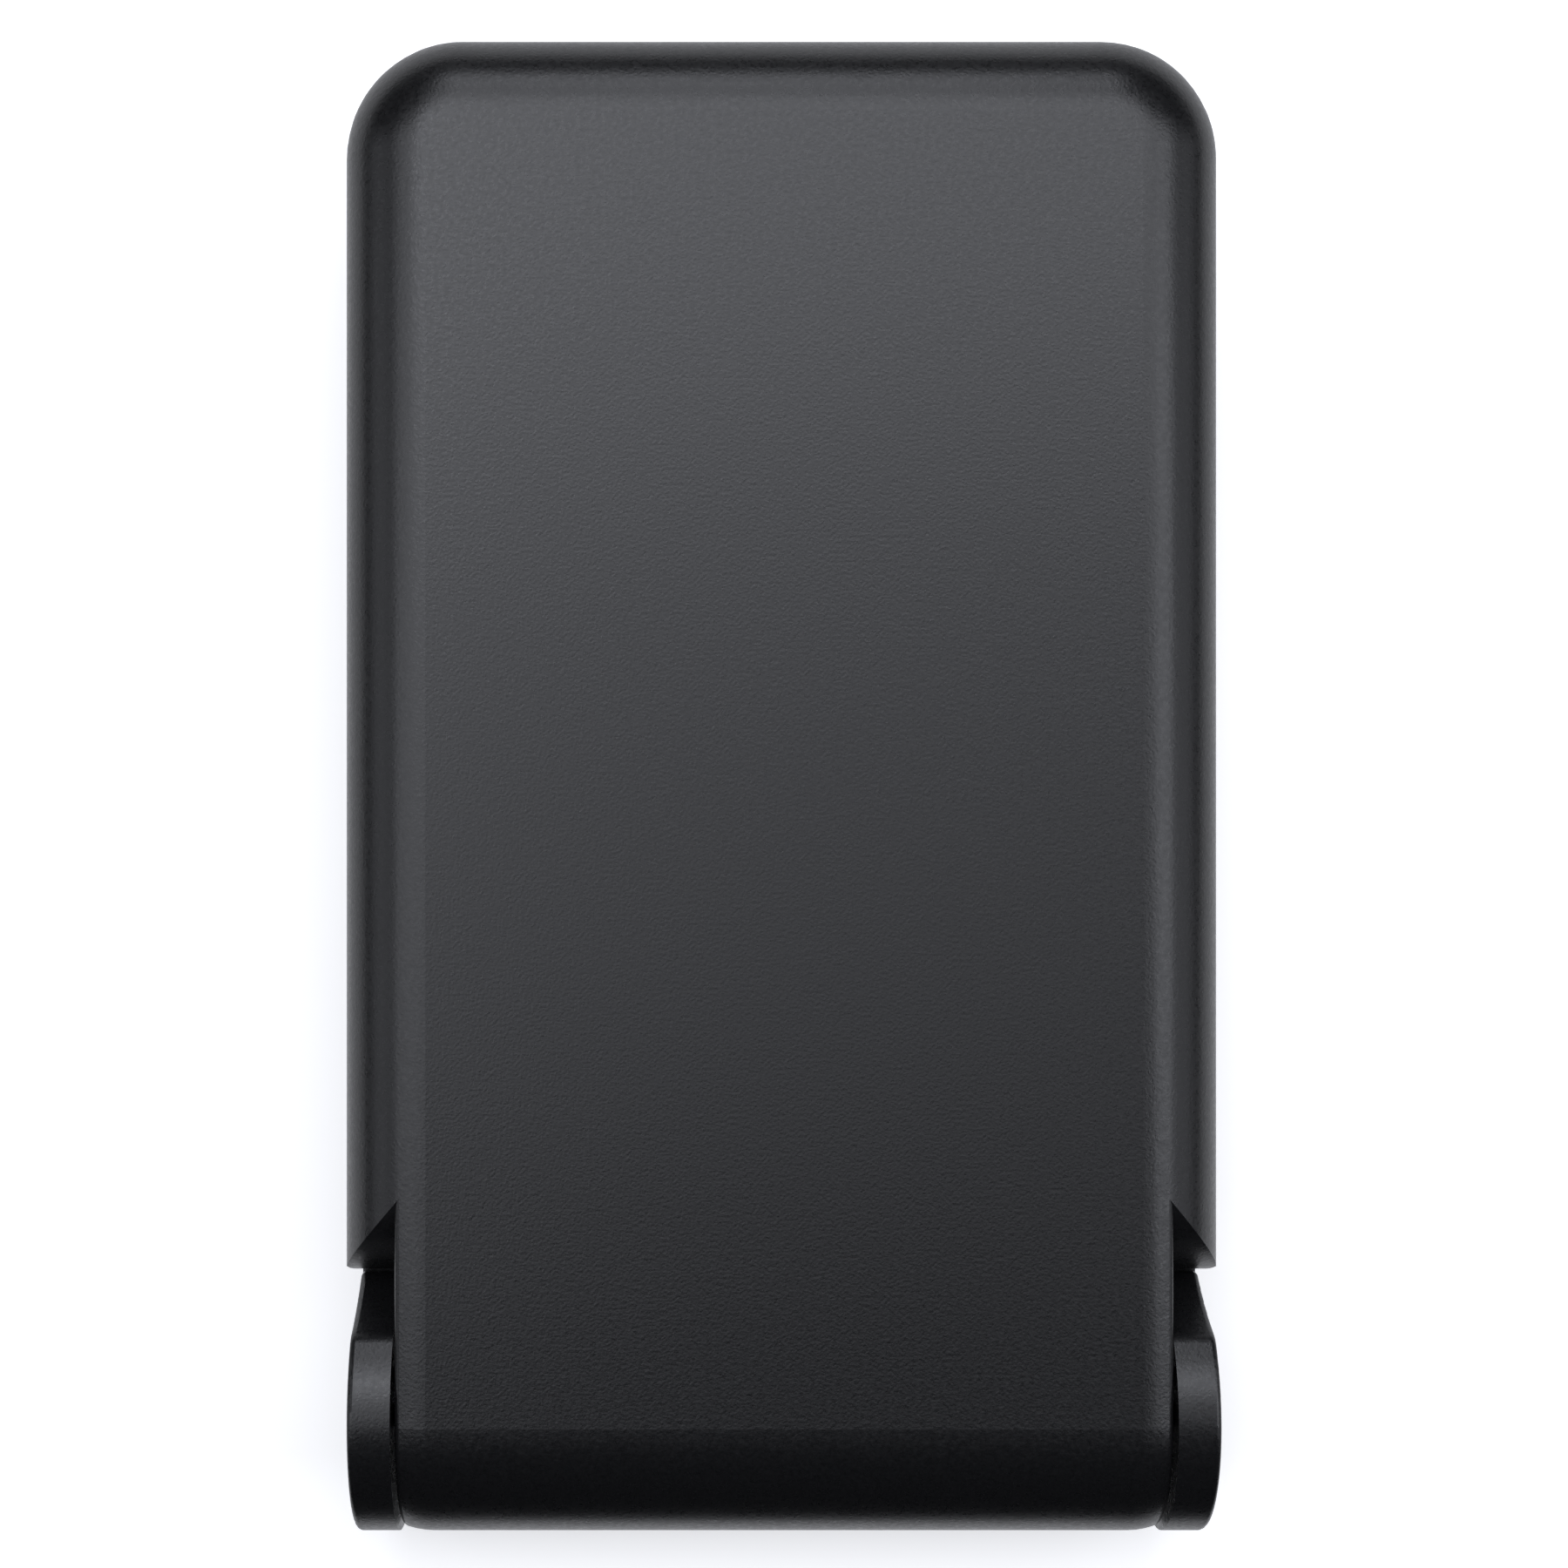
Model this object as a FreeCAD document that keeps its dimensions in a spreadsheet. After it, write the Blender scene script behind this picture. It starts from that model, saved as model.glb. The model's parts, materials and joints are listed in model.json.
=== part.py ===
"""Folding phone stand: a base and a backrest joined by a full-width friction hinge.

Every piece is drawn in the hinge's frame: X along the hinge axis, Y from the axis towards the far end,
Z up, with the stand folded flat. PLACE_Y and PLACE_Z then carry each piece to the model's frame, whose
origin is the middle of the stand's outline on the surface that it lies on.
"""

import FreeCAD, Part
import os
import re

import Sketcher

Vector = FreeCAD.Vector

# Driving dimensions in millimetres: alias, value, meaning.
SIZES = [
    ("plate_width", 70.0, "width of backrest and base"),
    ("plate_reach", 110.0, "hinge axis to far edge"),
    ("plate_corner", 9.5, "corner radius of the outline at the far end"),
    ("barrel_radius", 10.5, "hinge barrel and ears, also the thickness of each half"),
    ("ear_inset", 0.8, "plate's side to an ear's outer face"),
    ("edge_round", 7.0, "rounding of the backrest's outer edges"),
    ("wing_gap", 0.4, "ears to the backrest's side wings"),
    ("wing_round", 9.5, "rounding of the wings' hinge ends"),
    ("wing_corner", 1.2, "outer corners of the wings' hinge ends"),
    ("wing_wall", 3.2, "wings' hinge ends to the hollow inside them"),
    ("rim_round", 0.6, "rounding of the barrel's and neck's rims"),
    ("half_gap", 0.2, "folded halves to the hinge plane, each"),
    ("wall", 1.8, "casing walls"),
    ("cover_thick", 2.0, "inner covers"),
    ("cover_play", 0.1, "cover to casing"),
    ("end_wall", 1.6, "walls that close the barrel's ends"),
    ("ear_gap", 0.3, "barrel end to ear"),
    ("ear_thick", 3.4, "ears, across"),
    ("ear_round", 0.45, "rounding of the ears' outer rims"),
    ("flank_top", 8, "height above the hinge axis of the ears' eased flank"),
    ("flank_foot", 1.1, "height above the hinge axis at which the flank ends"),
    ("flank_dip", 0.3, "hollow of the flank"),
    ("flank_round", 2, "rounding of the flank's upper end"),
    ("base_gap", 2.5, "ears to the base's hollow and foot pad"),
    ("nose_overlap", 2.0, "the base's end under the barrel"),
    ("barrel_play", 0.4, "barrel to the base's hollow end"),
    ("base_round", 2.5, "rounding of the base's lower edges"),
    ("shaft_radius", 2.5, "hinge shafts"),
    ("shaft_play", 0.05, "shaft to ear, bracket and washers"),
    ("wall_play", 0.3, "shaft to the barrel's end walls"),
    ("head_side", 7.0, "square head that keys a shaft in its ear"),
    ("head_thick", 1.4, "square head, along the axis"),
    ("cap_radius", 5.4, "caps in the ears' outer faces"),
    ("cap_thick", 1.05, "ear caps"),
    ("collar_radius", 4.2, "shoulder on a shaft"),
    ("collar_thick", 1.0, "shoulder, along the axis"),
    ("collar_inset", 1.9, "barrel end to shoulder"),
    ("washer_radius", 5.5, "friction washers"),
    ("washer_thick", 0.8, "friction washers"),
    ("rub_gap", 0.03, "friction washer to bracket"),
    ("spring_radius", 5.0, "disc springs"),
    ("spring_thick", 0.5, "disc springs"),
    ("spring_dish", 0.4, "height of a disc spring's cone"),
    ("nut_across", 8.0, "lock nut across its flats"),
    ("nut_thick", 3.4, "lock nut"),
    ("shaft_tail", 1.4, "shaft past its lock nut"),
    ("lug_radius", 5.8, "bracket's eye"),
    ("sheet", 1.6, "bracket's sheet metal"),
    ("arm_gap", 0.5, "inner cover to the bracket's arm"),
    ("boss_height", 2.7, "bosses that the bracket is screwed to"),
    ("foot_gap", 1.5, "barrel to the bracket's foot"),
    ("foot_depth", 12.0, "bracket's foot along the neck"),
    ("foot_length", 14.8, "bracket's foot, across"),
    ("foot_screw_inset", 3.2, "bracket screw to the foot's end"),
    ("boss_radius", 2.7, "screw bosses"),
    ("boss_play", 0.4, "boss to ballast plate"),
    ("screw_radius", 1.0, "shanks of the screws"),
    ("thread_play", 0.03, "screw to its pilot hole"),
    ("hole_play", 0.2, "screw to a hole that it passes through"),
    ("screw_grip", 3.4, "screw's length in a boss"),
    ("head_radius", 2.0, "screw heads"),
    ("screw_head", 0.7, "flat screw heads"),
    ("bracket_head", 1.2, "bracket screws' heads"),
    ("screw_side", 11.0, "plate's side to the cover screws"),
    ("screw_gap", 10.5, "ledge's pocket to the first cover screws"),
    ("screw_inset", 12.0, "far edge to the last cover screws"),
    ("pad_thick", 0.8, "silicone pads in the inner faces"),
    ("pad_play", 0.05, "pad to the edge of its recess"),
    ("pad_corner", 4.0, "corners of the backrest and foot pads"),
    ("pad_side", 7.0, "plate's side to the backrest pad"),
    ("pad_gap", 3.6, "well to the backrest pad"),
    ("pad_inset", 7.0, "far edge to the backrest pad"),
    ("rest_side", 9.0, "plate's side to the pad under the phone's lower edge"),
    ("rest_gap", 4.1, "barrel to the phone rest pad"),
    ("rest_length", 10.6, "phone rest pad, away from the hinge"),
    ("rest_corner", 2.0, "corners of the phone rest pad"),
    ("foot_proud", 0.6, "foot pad below the base"),
    ("foot_sunk", 0.6, "foot pad's recess"),
    ("foot_pad_side", 8.0, "plate's side to the foot pad"),
    ("foot_pad_inset", 7.0, "far edge to the foot pad"),
    ("ballast_side", 7.0, "plate's side to the steel weight"),
    ("ballast_gap", 7.0, "base's hollow to the near end of the weight"),
    ("ballast_inset", 6.0, "far edge to the weight"),
    ("ballast_thick", 3.0, "steel weight"),
    ("phone_room", 17.9, "barrel to the ledge's pin, with room for a phone's edge"),
    ("ledge_side", 11.0, "plate's side to the ends of the flip-up ledge"),
    ("ledge_reach", 6.8, "ledge's pin to its tip"),
    ("ledge_thick", 2.3, "ledge"),
    ("ledge_sink", 0.1, "ledge below the base's inner face"),
    ("ledge_play", 0.3, "ledge to its pocket"),
    ("ledge_tip", 0.7, "rounding of the ledge's tip"),
    ("grip_thick", 0.5, "silicone strip on the ledge"),
    ("grip_start", 2.0, "ledge's pin to the strip"),
    ("grip_margin", 1.2, "strip to the ledge's tip, and twice that to its ends"),
    ("pin_radius", 0.75, "ledge's pin"),
    ("tray_wall", 2.0, "walls round the ledge's pocket"),
    ("scoop_radius", 6.0, "finger scoop beside the ledge"),
    ("scoop_depth", 1.6, "finger scoop"),
    ("well_play", 0.9, "raised ledge to the well in the backrest"),
    ("well_wall", 1.0, "walls of the well"),
    ("over", 1.0, "cutting shapes past the faces that they open"),
]

# Where the hinge frame lies in the model's frame.
PLACE_Y = "(barrel_radius - plate_reach) / 2"
PLACE_Z = "foot_proud + barrel_radius"

# Places used by more than one piece, measured from the hinge axis.
PLATE_HALF = "(plate_width / 2)"
EAR_OUTER = f"({PLATE_HALF} - ear_inset)"
EAR_INNER = f"({EAR_OUTER} - ear_thick)"
BARREL_END = f"({EAR_INNER} - ear_gap)"
WING_START = "(barrel_radius + wing_gap)"
BASE_START = "(barrel_radius + base_gap)"
CAP_FLOOR = f"({EAR_OUTER} - cap_thick)"
COLLAR_END = f"({BARREL_END} - collar_inset - collar_thick)"
LUG_START = f"({COLLAR_END} - washer_thick - rub_gap - sheet)"
SPRING_END = f"({LUG_START} - rub_gap - washer_thick)"
SPRING_PITCH = "(spring_thick + spring_dish)"
SPRING_COUNT = 4
NUT_END = f"({SPRING_END} - {SPRING_COUNT} * {SPRING_PITCH})"
SHAFT_START = f"({NUT_END} - nut_thick - shaft_tail)"
FOOT_START_X = f"({LUG_START} + sheet - foot_length)"
BARREL_BORE = "(barrel_radius - wall)"
BARREL_Y = "sqrt(barrel_radius ^ 2 - half_gap ^ 2)"
FOOT_START = "(barrel_radius + foot_gap)"
FOOT_END = f"({FOOT_START} + foot_depth)"
FOOT_TOP = "(barrel_radius - wall - boss_height)"
BACK_INNER = "half_gap"
BACK_COVER_TOP = "(half_gap + cover_thick)"
BASE_INNER = "(-half_gap)"
BASE_COVER_LOW = "(-half_gap - cover_thick)"
BASE_FLOOR = "(-barrel_radius + wall)"
LEDGE_HALF = f"({PLATE_HALF} - ledge_side)"
LEDGE_Y = "(barrel_radius + phone_room)"
LEDGE_Z = "(-half_gap - ledge_sink - ledge_thick / 2)"
POCKET_START = f"({LEDGE_Y} - ledge_thick / 2 - ledge_play)"
POCKET_END = f"({LEDGE_Y} + ledge_reach + ledge_play)"
POCKET_LOW = f"({LEDGE_Z} - ledge_thick / 2 - ledge_play)"
POCKET_HALF = f"({LEDGE_HALF} + ledge_play)"
WELL_START = f"({LEDGE_Y} - ledge_thick / 2 - well_play)"
WELL_END = f"({LEDGE_Y} + ledge_reach + well_play + ledge_play)"
WELL_TOP = f"({LEDGE_Z} + ledge_reach + well_play)"
WELL_HALF = f"({LEDGE_HALF} + well_play)"
PAD_HALF = f"({PLATE_HALF} - pad_side)"
PAD_START = f"({WELL_END} + well_wall + pad_gap)"
PAD_END = "(plate_reach - pad_inset)"
REST_HALF = f"({PLATE_HALF} - rest_side)"
REST_START = "(barrel_radius + rest_gap)"
REST_END = f"({REST_START} + rest_length)"
FOOT_PAD_HALF = f"({PLATE_HALF} - foot_pad_side)"
FOOT_PAD_END = "(plate_reach - foot_pad_inset)"
SCREW_COLUMN = f"({PLATE_HALF} - screw_side)"
SCREW_NEAR = f"({POCKET_END} + screw_gap)"
SCREW_FAR = "(plate_reach - screw_inset)"

SCREW_PLACES = [
    (column, row)
    for column in (SCREW_COLUMN, f"(-{SCREW_COLUMN})")
    for row in (SCREW_NEAR, SCREW_FAR)
]
BRACKET_SCREW_X = [
    f"({FOOT_START_X} + foot_screw_inset)",
    f"({LUG_START} - foot_screw_inset)",
]
BRACKET_SCREW_Y = f"(({FOOT_START} + {FOOT_END}) / 2)"

SIDES = {"right": "", "left": "-"}
NEAR = 1e-4
ALIASES = {alias for alias, _, _ in SIZES}
WORD = re.compile(r"[a-z]\w*")

doc = FreeCAD.newDocument("phone_stand")
sheet = doc.addObject("Spreadsheet::Sheet", "Sizes")
for row, (alias, value, meaning) in enumerate(SIZES, 1):
    sheet.set(f"A{row}", meaning)
    sheet.set(f"B{row}", str(value))
    sheet.setAlias(f"B{row}", alias)
doc.recompute()


# ---------------------------------------------------------------- helpers


def full(expression):
    """The expression with the sheet's name before each of its aliases."""
    return WORD.sub(lambda m: f"Sizes.{m[0]}" if m[0] in ALIASES else m[0], expression)


def value_of(expression):
    """The expression's present value in millimetres."""
    return float(sheet.evalExpression(full(expression)))


def bind(thing, **expressions):
    """Ties properties to expressions; two underscores stand for a dot."""
    for name, expression in expressions.items():
        thing.setExpression(name.replace("__", "."), full(expression))


def box(name, x, y, z):
    """A block between two expressions along each axis."""
    block = doc.addObject("Part::Box", name)
    bind(
        block,
        Length=f"{x[1]} - ({x[0]})",
        Width=f"{y[1]} - ({y[0]})",
        Height=f"{z[1]} - ({z[0]})",
        Placement__Base__x=x[0],
        Placement__Base__y=y[0],
        Placement__Base__z=z[0],
    )
    return block


def rod(name, radius, x, y="0", z="0"):
    """A cylinder along X."""
    cylinder = doc.addObject("Part::Cylinder", name)
    cylinder.Placement = FreeCAD.Placement(Vector(), FreeCAD.Rotation(Vector(0, 1, 0), 90))
    bind(
        cylinder,
        Radius=radius,
        Height=f"{x[1]} - ({x[0]})",
        Placement__Base__x=x[0],
        Placement__Base__y=y,
        Placement__Base__z=z,
    )
    return cylinder


def post(name, radius, x, y, z):
    """A cylinder along Z."""
    cylinder = doc.addObject("Part::Cylinder", name)
    bind(
        cylinder,
        Radius=radius,
        Height=f"{z[1]} - ({z[0]})",
        Placement__Base__x=x,
        Placement__Base__y=y,
        Placement__Base__z=z[0],
    )
    return cylinder


def fuse(name, pieces):
    joined = doc.addObject("Part::MultiFuse", name)
    joined.Shapes = pieces
    joined.Refine = True
    return joined


def cut(name, base, tools):
    """base less every one of the tools."""
    difference = doc.addObject("Part::Cut", name)
    difference.Base = base
    difference.Tool = tools[0] if len(tools) == 1 else fuse(name + "_tools", tools)
    difference.Refine = True
    return difference


def group(name, pieces):
    """Separate solids that share one node."""
    compound = doc.addObject("Part::Compound", name)
    compound.Links = pieces
    return compound


def mirrored(name, source):
    """The same piece on the other side of the middle plane."""
    twin = doc.addObject("Part::Mirroring", name)
    twin.Source = source
    twin.Normal = Vector(1, 0, 0)
    return twin


def new_body(name):
    return doc.addObject("PartDesign::Body", name)


def new_sketch(body, name, role, offset):
    """A sketch on one of the body's own planes, moved along its normal."""
    sketch = body.newObject("Sketcher::SketchObject", name)
    plane = next(f for f in body.Origin.OriginFeatures if f.Role == role)
    sketch.AttachmentSupport = [(plane, "")]
    sketch.MapMode = "FlatFace"
    bind(sketch, AttachmentOffset__Base__z=offset)
    return sketch


def draw(sketch, outline):
    """A closed outline of points (u, v); a point (u, v, middle, radius) starts an arc through middle."""
    count = len(outline)
    places = [Vector(value_of(p[0]), value_of(p[1]), 0) for p in outline]
    for i, point in enumerate(outline):
        start, end = places[i], places[(i + 1) % count]
        if len(point) == 2:
            sketch.addGeometry(Part.LineSegment(start, end), False)
        else:
            middle = Vector(value_of(point[2][0]), value_of(point[2][1]), 0)
            sketch.addGeometry(Part.Arc(start, middle, end), False)

    def end_at(side, place):
        gaps = {pos: sketch.getPoint(side, pos).distanceToPoint(place) for pos in (1, 2)}
        return min(gaps, key=gaps.get)

    for i, point in enumerate(outline):
        here = end_at(i, places[i])
        before = (i - 1) % count
        sketch.addConstraint(
            Sketcher.Constraint("Coincident", before, end_at(before, places[i]), i, here)
        )
        for kind, place, expression in (
            ("DistanceX", places[i].x, point[0]),
            ("DistanceY", places[i].y, point[1]),
        ):
            index = sketch.addConstraint(Sketcher.Constraint(kind, -1, 1, i, here, place))
            sketch.setExpression(f"Constraints[{index}]", full(expression))
        if len(point) > 2:
            radius = value_of(point[3])
            index = sketch.addConstraint(Sketcher.Constraint("Radius", i, radius))
            sketch.setExpression(f"Constraints[{index}]", full(point[3]))


def pad(body, sketch, length):
    feature = body.newObject("PartDesign::Pad", sketch.Name + "_pad")
    feature.Profile = sketch
    bind(feature, Length=length)
    doc.recompute()
    return feature


def pocket(body, sketch, length, along_normal):
    """Cuts the sketch's outline away and makes sure that something went."""
    before = body.Tip.Shape.Volume
    feature = body.newObject("PartDesign::Pocket", sketch.Name + "_pocket")
    feature.Profile = sketch
    feature.Reversed = along_normal
    bind(feature, Length=length)
    doc.recompute()
    if feature.Shape.Volume > before - NEAR:
        raise RuntimeError(f"{feature.Name} cuts nothing")
    return feature


def round_edges(body, name, radius, chosen):
    """Rounds the edges of the body's latest feature that the test chooses."""
    base = body.Tip
    names = [f"Edge{i}" for i, edge in enumerate(base.Shape.Edges, 1) if chosen(edge)]
    if not names:
        raise RuntimeError(f"{name} has no edge to round")
    feature = body.newObject("PartDesign::Fillet", name)
    feature.Base = (base, names)
    bind(feature, Radius=radius)
    doc.recompute()
    return feature


def same(a, b):
    return abs(a - b) < NEAR


def upright_at(edge, y):
    """A vertical edge at this distance from the hinge axis."""
    limits = edge.BoundBox
    return limits.ZLength > NEAR and same(limits.YMin, y) and same(limits.YMax, y)


def level_at(edge, z):
    limits = edge.BoundBox
    return same(limits.ZMin, z) and same(limits.ZMax, z)


def across_at(edge, y):
    """An edge along X at this distance from the hinge axis."""
    limits = edge.BoundBox
    return same(limits.YMin, y) and same(limits.YMax, y)


def slab(name, half_width, y, z, corner, near_corner=True, rim=None, rim_z=None):
    """A plate with rounded corners; rim rounds its edges at rim_z, but not those of a square near end."""
    body = new_body(name)
    sketch = new_sketch(body, name + "_outline", "XY_Plane", z[0])
    left, right = f"-({half_width})", half_width
    draw(sketch, [(left, y[0]), (right, y[0]), (right, y[1]), (left, y[1])])
    pad(body, sketch, f"{z[1]} - ({z[0]})")
    near, far = value_of(y[0]), value_of(y[1])
    round_edges(
        body,
        name + "_corners",
        corner,
        lambda e: upright_at(e, far) or (near_corner and upright_at(e, near)),
    )
    if rim:
        level = value_of(rim_z)
        round_edges(
            body,
            name + "_rim",
            rim,
            lambda e: level_at(e, level) and (near_corner or not across_at(e, near)),
        )
    return body


def beyond_corner(name, side, radius, z):
    """What a plate loses at the rounded corner where its full width ends, by the hinge."""
    sign = SIDES[side]
    corner, outside = f"{sign}({PLATE_HALF} - {radius})", f"{sign}({PLATE_HALF} + over)"
    x = (outside, corner) if sign else (corner, outside)
    centre = f"{WING_START} + {radius}"
    block = box(name + "_block", x, ("-over", centre), z)
    return cut(name, block, [post(name + "_round", radius, corner, centre, z)])


def screw(name, x, y, seat, head, grip, up=1):
    """A screw whose head bears on seat from below (up=1) or above, with its shank grip long past it."""
    head_z = (f"{seat} - {head}", seat) if up > 0 else (seat, f"{seat} + {head}")
    shank_z = (seat, f"{seat} + {grip}") if up > 0 else (f"{seat} - {grip}", seat)
    return fuse(
        name,
        [
            post(name + "_head", "head_radius", x, y, head_z),
            post(name + "_shank", "screw_radius", x, y, shank_z),
        ],
    )


# ---------------------------------------------------------------- backrest


def side_pocket(body, name, side):
    """Cuts the wings back beside the neck and rounds their hinge ends; side is 1 or -1."""
    sketch = new_sketch(body, name, "YZ_Plane", BARREL_END if side > 0 else f"-{BARREL_END}")
    arc_z = "barrel_radius - wing_round"
    arc_y = f"{WING_START} + wing_round"
    diagonal = "wing_round * sqrt(0.5)"
    draw(
        sketch,
        [
            (WING_START, "half_gap - over"),
            (WING_START, arc_z, (f"{arc_y} - {diagonal}", f"{arc_z} + {diagonal}"), "wing_round"),
            (arc_y, "barrel_radius"),
            (arc_y, "barrel_radius + over"),
            ("-barrel_radius - over", "barrel_radius + over"),
            ("-barrel_radius - over", "half_gap - over"),
        ],
    )
    pocket(body, sketch, f"{PLATE_HALF} - {BARREL_END} + over", side > 0)


def on_neck_side(edge):
    """An outer edge of the neck's or barrel's flat sides."""
    limits = edge.BoundBox
    half = value_of(BARREL_END)
    return (
        limits.XLength < NEAR
        and same(abs(limits.XMin), half)
        and limits.ZMax > value_of("barrel_radius") / 2
        and limits.YMin < value_of(WING_START) - NEAR
    )


def backrest_outer():
    """The backrest's outside above the hinge plane: plate, wings, neck and the barrel's upper half."""
    body = new_body("backrest_outer")
    sketch = new_sketch(body, "backrest_side", "YZ_Plane", "-plate_width / 2")
    diagonal = "barrel_radius * sqrt(0.5)"
    draw(
        sketch,
        [
            ("plate_reach", "half_gap"),
            ("plate_reach", "barrel_radius"),
            ("0", "barrel_radius", (f"-{diagonal}", diagonal), "barrel_radius"),
            (f"-{BARREL_Y}", "half_gap"),
        ],
    )
    pad(body, sketch, "plate_width")
    far, top = value_of("plate_reach"), value_of("barrel_radius")
    half = value_of("plate_width / 2")
    round_edges(body, "backrest_corners", "plate_corner", lambda e: upright_at(e, far))

    def outer_edge(edge):
        limits = edge.BoundBox
        on_top = level_at(edge, top) and not across_at(edge, 0)
        on_side = limits.XLength < NEAR and same(abs(limits.XMin), half)
        return on_top or (on_side and limits.ZLength > NEAR and limits.YLength > NEAR)

    round_edges(body, "backrest_edges", "edge_round", outer_edge)
    side_pocket(body, "right_side", 1)
    side_pocket(body, "left_side", -1)
    round_edges(body, "neck_rims", "rim_round", on_neck_side)
    return body


def lower_barrel():
    """The barrel's outside below the backrest's inner face, trimmed and rounded as the neck is."""
    body = new_body("lower_barrel")
    sketch = new_sketch(body, "lower_barrel_side", "YZ_Plane", "-plate_width / 2")
    bottom = ("0", "-barrel_radius")
    draw(
        sketch,
        [
            (BARREL_Y, "half_gap"),
            (f"-{BARREL_Y}", "half_gap", bottom, "barrel_radius"),
        ],
    )
    pad(body, sketch, "plate_width")

    def end_arc(edge, x):
        limits = edge.BoundBox
        flat = limits.ZLength < NEAR
        return limits.XLength < NEAR and same(abs(limits.XMin), x) and not flat

    half, end = value_of("plate_width / 2"), value_of(BARREL_END)
    round_edges(body, "lower_barrel_edges", "edge_round", lambda e: end_arc(e, half))
    size, depth = "2 * (barrel_radius + over)", f"{PLATE_HALF} - {BARREL_END} + over"
    for name, start in (("right_trim", BARREL_END), ("left_trim", f"-{BARREL_END} - ({depth})")):
        trim = body.newObject("PartDesign::SubtractiveBox", name)
        bind(
            trim,
            Length=depth,
            Width=size,
            Height=size,
            Placement__Base__x=start,
            Placement__Base__y="-barrel_radius - over",
            Placement__Base__z="-barrel_radius - over",
        )
        doc.recompute()
    round_edges(body, "lower_barrel_rims", "rim_round", lambda e: end_arc(e, end))
    return body


def barrel_hollow(name):
    """The space inside the barrel, with the shafts' holes in its end walls."""
    inside = f"({BARREL_END} - end_wall)"
    outside = f"({BARREL_END} + over)"
    return [
        rod(name + "_bore", BARREL_BORE, (f"-{inside}", inside)),
        rod(name + "_shaft_holes", "shaft_radius + wall_play", (f"-{outside}", outside)),
    ]


def backrest_shell():
    hollow = slab(
        "backrest_hollow",
        "plate_width / 2 - wall",
        (f"{WING_START} + wing_wall", "plate_reach - wall"),
        ("half_gap - over", "barrel_radius - wall"),
        "plate_corner - wall",
        near_corner=False,
    )
    level = value_of("barrel_radius - wall")
    round_edges(hollow, "backrest_hollow_rim", "edge_round - wall", lambda e: level_at(e, level))
    neck = box(
        "neck_hollow",
        (f"-{BARREL_END} + wall", f"{BARREL_END} - wall"),
        ("0", f"{WING_START} + wing_round + wall"),
        ("half_gap - over", "barrel_radius - wall"),
    )
    tall = ("half_gap - over", "barrel_radius + over")
    corners = [beyond_corner(f"{side}_wing_corner", side, "wing_corner", tall) for side in SIDES]
    casing = cut(
        "backrest_casing",
        backrest_outer(),
        [hollow, neck] + barrel_hollow("upper_barrel") + corners,
    )
    bosses, pilots = [], []
    seats = [(x, y, BACK_COVER_TOP) for x, y in SCREW_PLACES]
    for x in BRACKET_SCREW_X:
        seats += [(x, BRACKET_SCREW_Y, FOOT_TOP), (f"-{x}", BRACKET_SCREW_Y, FOOT_TOP)]
    root = "barrel_radius - wall + wall / 2"
    for i, (x, y, low) in enumerate(seats, 1):
        bosses.append(post(f"backrest_boss_{i}", "boss_radius", x, y, (low, root)))
        depth = (low, f"{low} + screw_grip") if low == BACK_COVER_TOP else (low, "barrel_radius - wall")
        pilots.append(post(f"backrest_pilot_{i}", "screw_radius + thread_play", x, y, depth))
    return cut("backrest_shell", fuse("backrest_bossed", [casing] + bosses), pilots)


def backrest_cover():
    edge = "wall + cover_play"
    plate = slab(
        "backrest_cover_plate",
        f"plate_width / 2 - ({edge})",
        (f"{WING_START} + wing_wall + cover_play", f"plate_reach - ({edge})"),
        (BACK_INNER, BACK_COVER_TOP),
        f"plate_corner - ({edge})",
        near_corner=False,
    )
    neck = box(
        "backrest_cover_neck",
        (f"-{BARREL_END} + {edge}", f"{BARREL_END} - ({edge})"),
        ("barrel_radius - wall / 2", f"{WING_START} + wing_wall + over"),
        (BACK_INNER, BACK_COVER_TOP),
    )
    tray = box(
        "well_tray",
        (f"-{WELL_HALF} - well_wall", f"{WELL_HALF} + well_wall"),
        (f"{WELL_START} - well_wall", f"{WELL_END} + well_wall"),
        (BACK_INNER, f"{WELL_TOP} + well_wall"),
    )
    well = box(
        "well",
        (f"-{WELL_HALF}", WELL_HALF),
        (WELL_START, WELL_END),
        ("half_gap - over", WELL_TOP),
    )
    recess = slab(
        "backrest_pad_recess",
        PAD_HALF,
        (PAD_START, PAD_END),
        ("half_gap - over", f"{BACK_INNER} + pad_thick"),
        "pad_corner",
    )
    tools = [well, recess] + barrel_hollow("lower_barrel_inside")
    seat = f"{BACK_INNER} + pad_thick"
    for i, (x, y) in enumerate(SCREW_PLACES, 1):
        through = (seat, f"{BACK_COVER_TOP} + over")
        tools.append(post(f"backrest_screw_hole_{i}", "screw_radius + hole_play", x, y, through))
        sink = (f"{seat} - over", f"{seat} + screw_head")
        tools.append(post(f"backrest_screw_sink_{i}", "head_radius + hole_play", x, y, sink))
    return cut("backrest_cover", fuse("backrest_cover_solid", [plate, neck, lower_barrel(), tray]), tools)


def backrest_pad():
    return slab(
        "backrest_pad",
        f"{PAD_HALF} - pad_play",
        (f"{PAD_START} + pad_play", f"{PAD_END} - pad_play"),
        (BACK_INNER, f"{BACK_INNER} + pad_thick"),
        "pad_corner - pad_play",
    )


def backrest_screws():
    seat = f"({BACK_INNER} + pad_thick + screw_head)"
    grip = f"{BACK_COVER_TOP} - {seat} + screw_grip"
    return group(
        "backrest_screws",
        [
            screw(f"backrest_screw_{i}", x, y, seat, "screw_head", f"({grip})")
            for i, (x, y) in enumerate(SCREW_PLACES, 1)
        ],
    )


# ---------------------------------------------------------------- hinge, right side


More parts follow.
